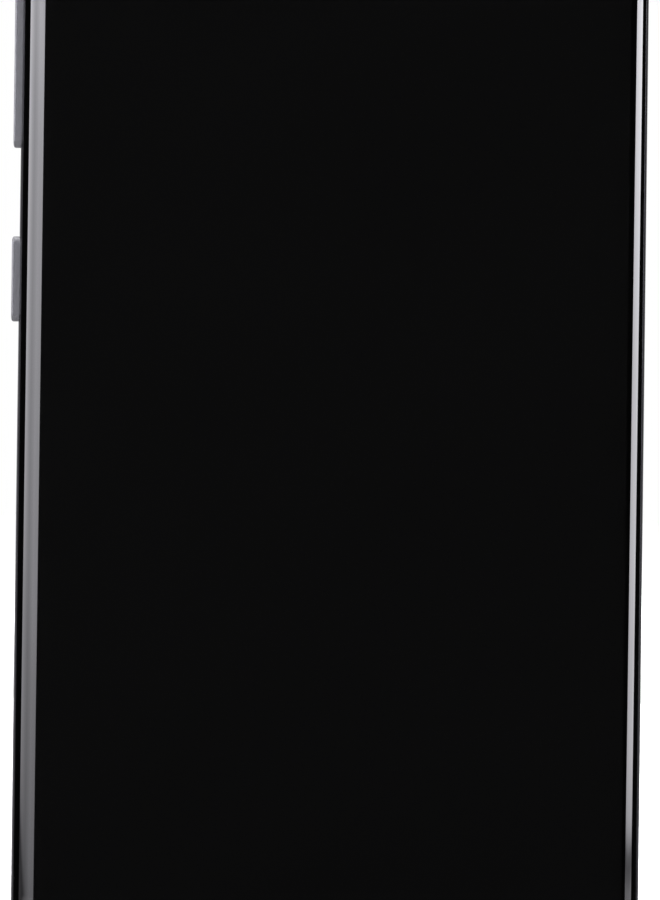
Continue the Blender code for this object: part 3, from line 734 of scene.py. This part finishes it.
camera_z = (edges("front_camera")[0].z + edges("front_camera")[1].z) / 2
lens_rings, shader, place, _ = black_glass("glass_polished_over_front_lens", "#020202", (0.02, 0.03))
to_middle = {"Location": (0, 0, -camera_z / 1000)}
centred = add_node(lens_rings, "Mapping", values=to_middle, links={"Vector": place.outputs["Object"]})
ring_reach = 2.0
to_rim = {"Scale": (1000 / ring_reach, 0, 1000 / ring_reach)}
level = add_node(lens_rings, "Mapping", values=to_rim, links={"Vector": centred.outputs["Vector"]})
spherical = {"gradient_type": "SPHERICAL"}
radial = add_node(lens_rings, "TexGradient", options=spherical, links={"Vector": level.outputs["Vector"]})
# The ramp paints a small lens on the window: black out to a thin lighter ring about a millimetre out, and
# blue and violet tints inside it, which are a painted reflection of the lens's coat.
rings = add_node(
    lens_rings,
    "ValToRGB",
    links={"Fac": radial.outputs["Fac"]},
    stops=[
        (0, linear("#020202")),
        (0.50, linear("#020202")),
        (0.53, linear("#1d1f26")),
        (0.58, linear("#060608")),
        (0.72, linear("#0a0d18")),
        (0.85, linear("#1c1836")),
        (1, linear("#10131f")),
    ],
)
feed(shader, Base_Color=rings.outputs["Color"])
front_glass.data.materials.append(lens_rings)
camera_hole = turned("camera_hole", "back", (0, camera_z), [(-4.5, 1.75), (-3.6, 1.75)], steps=64)
carve(front_glass, camera_hole)
profile = [(-half_depth, 1.748), (-3.62, 1.748)]
camera_cover = turned("front_camera_cover", "back", (0, camera_z), profile, lens_rings, steps=64)
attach(camera_cover, "phone_body")

# The camera behind it is a moulded black barrel, with a satin skin.
barrel_black, shader = new_material("polycarbonate_black_satin", 0.3)
grain(barrel_black, shader, 0.2, ("#0d0d0e", "#151517"), (0.26, 0.36), 0.001)
finish_node(barrel_black, "front_camera")


# ---------------------------------------------------------------- back glass
# The same glass as the front, bent the same way, with black ink inside. The camera island and the flash come
# through holes in it.


def back_glass_loops(steps=22):
    """Loops from the flat of the outside, round the edge, to where the flat of the inside begins."""
    loops = [[inward(p, p.reveal + p.width + 1.0, half_depth) for p in stations]]
    for k in range(steps + 1):
        loops.append([on_glass(p, arc(p)[1] * k / steps, 0.0, 1) for p in stations])
    for k in range(inner_steps, -1, -1):
        loops.append([on_glass(p, inner_end(p) * k / inner_steps, glass_thickness, 1) for p in stations])
    return loops


back_glass = lofted("rear_glass", back_glass_loops(), inked_glass)
round_edges(back_glass, 0.07, angle=50)
island_top = edges("camera_island")[1].y
window_low, window_high = edges("camera_window")
island_x, island_z = (window_low.x + window_high.x) / 2, (window_low.z + window_high.z) / 2
island_half = (8.4, 19.3)
flash_low, flash_high = edges("flash_lens")
flash_x, flash_z = (flash_low.x + flash_high.x) / 2, (flash_low.z + flash_high.z) / 2
opening, opening_corner = (island_half[0] + 0.12, island_half[1] + 0.12), 9
below_glass = 2.9
levels = [
    (below_glass, *opening, opening_corner),
    (half_depth - 0.05, *opening, opening_corner),
    (half_depth + 0.5, opening[0] + 0.5, opening[1] + 0.5, opening_corner),
]
carve(back_glass, stack("island_hole", "back", (island_x, island_z), levels, steps=24))
profile = [(below_glass, 2.6), (half_depth - 0.05, 2.6), (half_depth + 0.5, 3.1)]
carve(back_glass, turned("flash_hole", "back", (flash_x, flash_z), profile, steps=48))
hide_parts("back_glass")
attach(back_glass, "phone_body")


# ---------------------------------------------------------------- camera island
# A milled aluminium ring, anodised dark grey, stands out of the back glass. A black window closes it, and a
# turned trim sits round each lens.

# Bead-blasted and anodised dark grey aluminium, as on the keys: a fine satin that spreads the lights into a
# soft, slightly blue grey.
grey_anodised, shader = new_material("anodised_aluminium_grey_satin", 0.5, 0.35)
grain(grey_anodised, shader, 0.15, ("#565659", "#5e5e62"), (0.42, 0.52), 0.0015)

across, along = island_half
window_half = ((window_high.x - window_low.x) / 2, (window_high.z - window_low.z) / 2)
lip = (window_half[0] + 0.1, window_half[1] + 0.1)
flange = (across + 0.8, along + 0.8)
flange_low, flange_high, ledge = 3.0, 3.2, 4.2
# A corner radius that is larger than fits, so that the ends are half circles.
full = 20
ring_levels = [(flange_low, *flange, full), (flange_high, *flange, full), (flange_high, across, along, full)]
ring_round = 0.32
round_steps = 6
for k in range(round_steps + 1):
    turn = math.pi / 2 * k / round_steps
    less = ring_round * (1 - math.cos(turn))
    ring_levels.append((island_top - ring_round * (1 - math.sin(turn)), across - less, along - less, full))
ring_levels += [
    (island_top, lip[0] + 0.08, lip[1] + 0.08, full),
    (island_top - 0.08, *lip, full),
    (ledge, *lip, full),
    (ledge, lip[0] - 0.8, lip[1] - 0.8, full),
    (flange_low, lip[0] - 0.8, lip[1] - 0.8, full),
]
island = stack("camera_ring", "back", (island_x, island_z), ring_levels, grey_anodised, closed=True, steps=24)
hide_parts("camera_island")
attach(island, "phone_body")

window = stack(
    "camera_cover",
    "back",
    (island_x, island_z),
    [
        (window_low.y, *window_half, full),
        (window_high.y - 0.06, *window_half, full),
        (window_high.y - 0.02, window_half[0] - 0.02, window_half[1] - 0.02, full),
        (window_high.y, window_half[0] - 0.07, window_half[1] - 0.07, full),
    ],
    inked_glass,
    steps=24,
)
lens_pitch = 12.1
lenses = {"main": island_z, "tele": island_z - lens_pitch, "wide": island_z + lens_pitch}
clear_radius = 3.3
profile = [(4, clear_radius), (5, clear_radius)]
for z in lenses.values():
    carve(window, turned("lens_hole", "back", (island_x, z), profile, steps=64))
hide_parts("camera_window")
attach(window, "phone_body")

# Clear sapphire over each lens. Its anti-reflection coat leaves a faint cool tint and weakens the reflection,
# which the low index stands for.
sapphire, shader = new_material("sapphire_clear_coated", 0.01, 0.0, IOR=1.25, Transmission_Weight=1.0)
place = add_node(sapphire, "TexCoord")
tint_patch = 10 / 3
haze = add_node(
    sapphire,
    "TexNoise",
    values={"Scale": 1000 / tint_patch, "Detail": 2.0},
    links={"Vector": place.outputs["Object"]},
)
cool = add_node(
    sapphire,
    "ValToRGB",
    links={"Fac": haze.outputs["Fac"]},
    stops=[(0, linear("#e9edf7")), (1, linear("#f3f5fb"))],
)
feed(shader, Base_Color=cool.outputs["Color"])

# The front element is glass with a many-layered coat, which turns what it reflects violet at the middle and
# green at the rim. That reflection is also painted into its base colour by how squarely the element faces the
# view: violet towards the middle and dark green at the rim. It is opaque here, since nothing but black lies
# behind it.
element_glass, shader = new_material(
    "optical_glass_coated", 0.04, 0.0, IOR=1.5, Specular_Tint=linear("#6f5fe0")
)
facing = add_node(element_glass, "LayerWeight", values={"Blend": 0.35})
painted_coat_reflection = add_node(
    element_glass,
    "ValToRGB",
    links={"Fac": facing.outputs["Facing"]},
    stops=[(0, linear("#07061a")), (0.45, linear("#150b36")), (1, linear("#020806"))],
)
feed(shader, Base_Color=painted_coat_reflection.outputs["Color"])

for name, z in lenses.items():
    trim = turned(
        name + "_lens_trim",
        "back",
        (island_x, z),
        [
            (4.5, clear_radius - 0.02),
            (4.72, clear_radius - 0.02),
            (4.79, clear_radius - 0.1),
            (4.79, clear_radius - 0.22),
            (4.6, clear_radius - 0.38),
            (4.5, clear_radius - 0.38),
        ],
        grey_anodised,
        closed=True,
        steps=64,
    )
    profile = [(4.3, 2.86), (4.55, 2.86), (4.58, 2.8)]
    cover = turned(name + "_lens_cover", "back", (island_x, z), profile, sapphire, steps=64)
    cover.visible_shadow = False
    for piece, slot_name in ((trim, "key_aluminium"), (cover, "window_glass")):
        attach(piece, "phone_body")

    # Each barrel is a moulded black tube with baffle steps down to its first element. Two of them float in a
    # coil and magnet drive to focus, and the wide one is fixed in its own housing.
    profile = [(0.7, 3.5), (3.4, 3.5), (3.5, 3.4), (3.5, 3.15), (3.75, 3.1), (3.8, 3.0), (3.8, 2.75)]
    baffle_tread, baffle_rise = 0.16, 0.13
    for step in range(5):
        radius, top = 2.7 - baffle_tread * step, 3.75 - baffle_rise * step
        profile += [(top, radius), (top - baffle_rise, radius)]
    seat = 3.1
    profile += [(seat, 1.9)]
    barrel = turned(name + "_barrel", "back", (island_x, z), profile, barrel_black, steps=56)
    element_radius, bulge = 1.88, 0.42
    dome = [(seat - 0.15, element_radius)]
    for turn in (math.pi / 2 * k / 8 for k in range(9)):
        dome.append((seat + bulge * math.sin(turn), max(0.02, element_radius * math.cos(turn))))
    element = turned(name + "_front_element", "back", (island_x, z), dome, element_glass, steps=56)
    if name == "wide":
        levels = [(-1.45, 5.0, 5.0, 0.4), (2.7, 5.0, 5.0, 0.4)]
        housing = stack("wide_housing", "back", (island_x, z), levels, barrel_black)
        carve(barrel, housing, operation="UNION")
        node, body = "wide_camera", "phone_body"
    else:
        node, body = name + "_lens_barrel", name + "_lens"
    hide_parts(node)
    for piece in (barrel, element):
        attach(piece, body)


# ---------------------------------------------------------------- flash
# A clear moulded lens with ring-shaped prisms spreads the light of a white diode, whose phosphor shows yellow
# through it.

flash_plastic, shader = new_material("acrylic_clear_prismatic", 0.12, 0.0, IOR=1.49, Transmission_Weight=0.75)
place = add_node(flash_plastic, "TexCoord")
glow_reach = 2.6
near = add_node(
    flash_plastic,
    "Mapping",
    values={
        "Location": (-flash_x / glow_reach, 0, -flash_z / glow_reach),
        "Scale": (1000 / glow_reach, 0, 1000 / glow_reach),
    },
    links={"Vector": place.outputs["Object"]},
)
glow = add_node(flash_plastic, "TexGradient", options=spherical, links={"Vector": near.outputs["Vector"]})
warmth = add_node(
    flash_plastic,
    "ValToRGB",
    links={"Fac": glow.outputs["Fac"]},
    stops=[(0, linear("#d9d8d0")), (0.45, linear("#f1e6b8")), (1, linear("#ffe27a"))],
)
feed(shader, Base_Color=warmth.outputs["Color"])
prisms = [(3.4, 2.5), (3.86, 2.5), (3.9, 2.44), (3.9, 2.1)]
for k in range(7):
    radius = 2.05 - 0.27 * k
    prisms += [(3.80, radius), (3.88, max(radius - 0.25, 0.05))]
flash = turned("flash_cover", "back", (flash_x, flash_z), prisms, flash_plastic, steps=48)
flash.visible_shadow = False
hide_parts("flash_lens")
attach(flash, "phone_body")
phosphor, shader = new_material("phosphor_in_silicone_yellow", 0.45)
grain(phosphor, shader, 0.15, ("#d9b53a", "#e8c94f"), (0.4, 0.55), 0.002)
finish_node(phosphor, "flash_led")


# ---------------------------------------------------------------- side keys
# Two extruded and milled aluminium caps, anodised dark grey. Each goes in through the rail from inside, where
# a flange keeps it, and its outer edges are rounded for the thumb.


def key_cap(name, node, body):
    """A cap from its flange out through the rail to its crowned and rounded face."""
    low, high = edges(node)
    middle = (low.z + high.z) / 2
    half = (key_half_height, (high.z - low.z) / 2 - key_flange)
    flange = (1.15, (high.z - low.z) / 2, 0.3)
    flange_inside, flange_outside = -32.45, -32.8
    corner, round_off, crown, crown_inset = 0.9, 0.24, 0.03, 0.55
    levels = [(flange_inside, *flange), (flange_outside, *flange), (flange_outside - 0.05, *half, corner)]
    steps = 7
    for k in range(steps + 1):
        turn = math.pi / 2 * k / steps
        x = low.x + crown + round_off * (1 - math.sin(turn))
        less = round_off * (1 - math.cos(turn))
        levels.append((x, half[0] - less, half[1] - less, corner - less))
    levels.append((low.x, half[0] - crown_inset, half[1] - crown_inset, corner - crown_inset))
    cap = stack(name, "side", (0, middle), levels, grey_anodised, steps=12)
    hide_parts(node)
    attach(cap, body)


key_cap("volume_cap", "volume_rocker", "rocker")
key_cap("power_cap", "power_key", "power")


# ---------------------------------------------------------------- card tray
# A milled aluminium tray with one pocket for a nano card. Its face is dyed like the rail and lies flush with
# it, with a hole for the pin that pushes it out.

face_x, face_y = tray_half
face_corner = 0.87
tray = stack(
    "card_tray",
    "ends",
    (tray_x, tray_y),
    [
        (length - 1.2, face_x, face_y, face_corner),
        (length - 0.06, face_x, face_y, face_corner),
        (length - 0.02, face_x - 0.02, face_y - 0.02, face_corner - 0.02),
        (length, face_x - 0.06, face_y - 0.06, face_corner - 0.06),
    ],
    black_anodised,
)
plate = (7.3, 0.5, 0.25)
levels = [(tray_low.z, 7.1, 0.4, 0.2), (tray_low.z + 0.2, *plate), (length - 1.0, *plate)]
carve(tray, stack("tray_plate", "ends", (tray_x, tray_y), levels), operation="UNION")
# The card's pocket, the window under the card, and the pin's hole in the face.
card_z = 137.0
pocket = (6.25, 4.5, 0.8)
carve(tray, stack("pocket", "back", (tray_x, card_z), [(-2.0, *pocket), (-0.3, *pocket)]))
under_card = (5.25, 3.5, 0.6)
carve(tray, stack("window", "back", (tray_x, card_z), [(-2.0, *under_card), (1.0, *under_card)]))
pin_x = tray_x + 6.4
profile = [(length + 0.5, 0.95), (length - 0.05, 0.4), (length - 1.5, 0.4)]
carve(tray, turned("pin_hole", "ends", (pin_x, tray_y), profile, steps=32))
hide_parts("sim_tray")
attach(tray, "tray")


# ---------------------------------------------------------------- charging port
# A deep-drawn stainless shell with a moulded tongue in it. The tongue carries twelve gold-plated contacts on
# each face, half a millimetre apart.

shell_x, shell_y = port_high.x, port_high.y
wall = 0.3
shell_top, bore_top = 7.6, 7.0
port_shell = stack(
    "port_shell",
    "ends",
    (0, 0),
    [
        (shell_top, shell_x, shell_y, 1.5),
        (port_low.z + 0.12, shell_x, shell_y, 1.5),
        (port_low.z + 0.03, shell_x - 0.05, shell_y - 0.05, 1.46),
        (port_low.z, shell_x - 0.13, shell_y - 0.13, 1.4),
        (port_low.z + 0.03, shell_x - 0.23, shell_y - 0.23, 1.3),
        (port_low.z + 0.14, shell_x - wall, shell_y - wall, 1.22),
        (bore_top, shell_x - wall, shell_y - wall, 1.22),
    ],
    strip_steel,
    steps=12,
)
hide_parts("usb_c_shell")
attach(port_shell, "phone_body")

tongue = stack(
    "port_tongue",
    "ends",
    (0, 0),
    [
        (1.0, 3.2, 0.22, 0.15),
        (1.15, 3.34, 0.35, 0.15),
        (5.6, 3.34, 0.35, 0.15),
        (5.65, 3.7, 0.95, 0.3),
        (6.9, 3.7, 0.95, 0.3),
    ],
    nylon,
)
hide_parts("usb_c_tongue")
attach(tongue, "phone_body")

# The contacts are gold over nickel, flash plated: a soft, warm metal shine.
gold, shader = new_material("gold_plated_contacts", 0.25, 1.0)
grain(gold, shader, 0.1, ("#d8a94e", "#e6bd66"), (0.2, 0.3), 0.0005)
contacts, contact_pitch = 12, 0.5
for k in range(contacts):
    for side, side_name in ((-1, "front"), (1, "rear")):
        name = f"port_contact_{k + 1}_{side_name}"
        x = (k - (contacts - 1) / 2) * contact_pitch
        strip = (0.125, 1.7, 0.05)
        levels = [(side * 0.34, *strip), (side * 0.37, *strip), (side * 0.38, 0.1, 1.67, 0.04)]
        contact = stack(name, "back", (x, 3.3), levels, gold, steps=2)
        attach(contact, "phone_body")


# ---------------------------------------------------------------- the set
# A plain white floor under a pale surround, and soft light: a tall softbox to each side and one behind, and
# an area light overhead and one at the rear.

# Far from the phone the floor glows, so that it meets the white surround without an edge.
floor_paint, shader = new_material("painted_board_white_matte", 0.9)
grain(floor_paint, shader, 40, ("#f4f4f4", "#f8f8f8"), (0.85, 0.95), 0.0)
shader.inputs["Emission Color"].default_value = (1, 1, 1, 1)
place = add_node(floor_paint, "TexCoord")
reach = add_node(
    floor_paint, "VectorMath", options={"operation": "LENGTH"}, links={0: place.outputs["Object"]}
)
lit = add_node(
    floor_paint,
    "MapRange",
    values={"From Min": 0.45, "From Max": 1.2, "To Min": 0.0, "To Max": 1.0},
    links={"Value": reach.outputs["Value"]},
)
feed(shader, Emission_Strength=lit.outputs["Result"])
bm = bmesh.new()
bmesh.ops.create_grid(bm, x_segments=1, y_segments=1, size=6000)
floor = new_piece("floor", bm, floor_paint)
# The glass mirrors the surround's paler lower part in its place, which is even.
floor.visible_glossy = False
floor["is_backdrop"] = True


def softbox(name, near_angle, far_angle, low, high, radiance, across, upward, lean=0.0, slant=0.0):
    """An upright panel of light a metre away, from one angle to another off the line to the camera. It leans
    by so many degrees from its foot to its top. Its brightness follows two lists of (place, share), across
    it from the near edge and upward from its foot. Slant shifts the second list upward at the far edge."""
    bm = bmesh.new()
    layer = bm.loops.layers.uv.new("UVMap")
    steps = 12
    rows = []
    for k in range(steps + 1):
        rise = k / steps
        height = low + (high - low) * rise
        angles = [math.radians(a + lean * rise) for a in (near_angle, far_angle)]
        rows.append([bm.verts.new((1000 * math.sin(a), -1000 * math.cos(a), height)) for a in angles])
        if k:
            below = (k - 1) / steps
            face = bm.faces.new((rows[k - 1][0], rows[k - 1][1], rows[k][1], rows[k][0]))
            for loop, place in zip(face.loops, ((0, below), (1, below), (1, rise), (0, rise))):
                loop[layer].uv = place
    light, _ = new_material(name + "_light", 1.0)
    spread = add_node(light, "TexCoord")
    split = add_node(light, "SeparateXYZ", links={"Vector": spread.outputs["UV"]})
    shifted = add_node(
        light,
        "Math",
        options={"operation": "MULTIPLY_ADD"},
        values={1: -slant},
        links={0: split.outputs["X"], 2: split.outputs["Y"]},
    )
    ramps = [
        add_node(
            light,
            "ValToRGB",
            links={"Fac": source},
            stops=[(place, (share, share, share, 1)) for place, share in shares],
        )
        for source, shares in ((split.outputs["X"], across), (shifted.outputs["Value"], upward))
    ]
    times = {"operation": "MULTIPLY"}
    both = {k: ramp.outputs["Color"] for k, ramp in enumerate(ramps)}
    level = add_node(light, "Math", options=times, links=both)
    strength = add_node(light, "Math", options=times, values={1: radiance}, links={0: level.outputs["Value"]})
    glow = add_node(
        light, "Emission", values={"Color": linear("#f9f8ff")}, links={"Strength": strength.outputs["Value"]}
    )
    feed(light.node_tree.nodes["Material Output"], Surface=glow.outputs["Emission"])
    made = new_piece(name, bm, light)
    made.visible_camera = False
    made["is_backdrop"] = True


# The side softboxes are dim at the foot and bright higher up, as their long reflections in the glass are.
softbox(
    "left_softbox",
    near_angle=-39.3,
    far_angle=-90.5,
    low=-130,
    high=1100,
    radiance=11.8,
    across=[(0.0, 0.78), (0.3, 0.86), (0.58, 0.67), (0.8, 0.86), (0.93, 1.0), (1.0, 1.0)],
    upward=[
        (0, 0.05),
        (0.012, 0.21),
        (0.027, 0.29),
        (0.045, 0.34),
        (0.08, 0.4),
        (0.11, 0.52),
        (0.14, 0.58),
        (0.24, 0.76),
        (0.29, 1.0),
    ],
    slant=0.05,
)
softbox(
    "right_softbox",
    near_angle=69,
    far_angle=93,
    low=-130,
    high=1100,
    radiance=13.2,
    across=[(0, 1), (1, 1)],
    upward=[
        (0, 0.06),
        (0.03, 0.2),
        (0.038, 0.09),
        (0.0433, 0.14),
        (0.047, 0.28),
        (0.053, 0.48),
        (0.075, 0.64),
        (0.12, 0.7),
        (0.18, 0.77),
        (0.24, 0.86),
        (0.3, 1.0),
    ],
    lean=27.0,
)
# Behind the phone, only its back and the steepest parts of its rim mirror this one, as a soft sheen.
softbox(
    "rear_softbox",
    near_angle=130,
    far_angle=235,
    low=-700,
    high=1100,
    radiance=1.2,
    across=[(0, 0.5), (0.3, 0.45), (0.5, 0.6), (0.65, 1), (1, 0.5)],
    upward=[(0, 1), (0.2, 0.9), (0.36, 0.6), (0.5, 0.3), (1, 0.3)],
)


def area_light(name, place, aim, size, watts):
    """A square light at a place in metres, turned to what it lights."""
    data = bpy.data.lights.new(name, "AREA")
    data.shape = "SQUARE"
    data.size = size
    data.energy = watts
    made = bpy.data.objects.new(name, data)
    made.location = place
    made.rotation_mode = "QUATERNION"
    made.rotation_quaternion = (Vector(aim) - Vector(place)).to_track_quat("-Z", "Y")
    made.visible_camera = False
    scene.collection.objects.link(made)


area_light("overhead_light", (0, 0.1, 1.6), (0, 0, 0.0), 1.6, 60)
area_light("rear_light", (0.4, 1.5, 1.2), (0, 0, 0.07), 0.9, 18)

# The surround is white where the camera sees it. To everything else it is a dark studio, paler below.
world = bpy.data.worlds.new("surround")
scene.world = world
world.use_nodes = True
world.node_tree.nodes.clear()
direction = add_node(world, "TexCoord")
height = add_node(world, "SeparateXYZ", links={"Vector": direction.outputs["Generated"]})
dusk = add_node(
    world,
    "MapRange",
    values={"From Min": -0.45, "From Max": -0.2, "To Min": 0.6, "To Max": 0.015},
    links={"Value": height.outputs["Z"]},
)
white = (1, 1, 1, 1)
seen = add_node(world, "Background", values={"Color": white})
studio = add_node(world, "Background", values={"Color": white}, links={"Strength": dusk.outputs["Result"]})
rays = add_node(world, "LightPath")
choose = add_node(
    world,
    "MixShader",
    links={
        "Fac": rays.outputs["Is Camera Ray"],
        1: studio.outputs["Background"],
        2: seen.outputs["Background"],
    },
)
add_node(world, "OutputWorld", links={"Surface": choose.outputs["Shader"]})
scene.view_settings.view_transform = "Standard"

# The camera stands in front of the screen at half the height of what it sees, tilted and rolled by less than
# a degree. It is aimed a hair to the keys' side of the middle.
camera_aside = -0.014
camera_height = 67.15
camera_distance = 380.6
camera_data = bpy.data.cameras.new("camera")
camera_data.lens = 135
camera_data.sensor_width = 36
camera = bpy.data.objects.new("camera", camera_data)
scene.collection.objects.link(camera)
tilt, roll = math.radians(-0.6), math.radians(0.73)
target = Vector((camera_aside, 0, camera_height)) / 1000
to_camera = Vector((0, -math.cos(tilt), math.sin(tilt)))
camera.location = target + to_camera * camera_distance / 1000
camera.rotation_euler = (-to_camera).to_track_quat("-Z", "Y").to_euler()
camera.rotation_euler.rotate_axis("Z", roll)
scene.camera = camera

low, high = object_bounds()
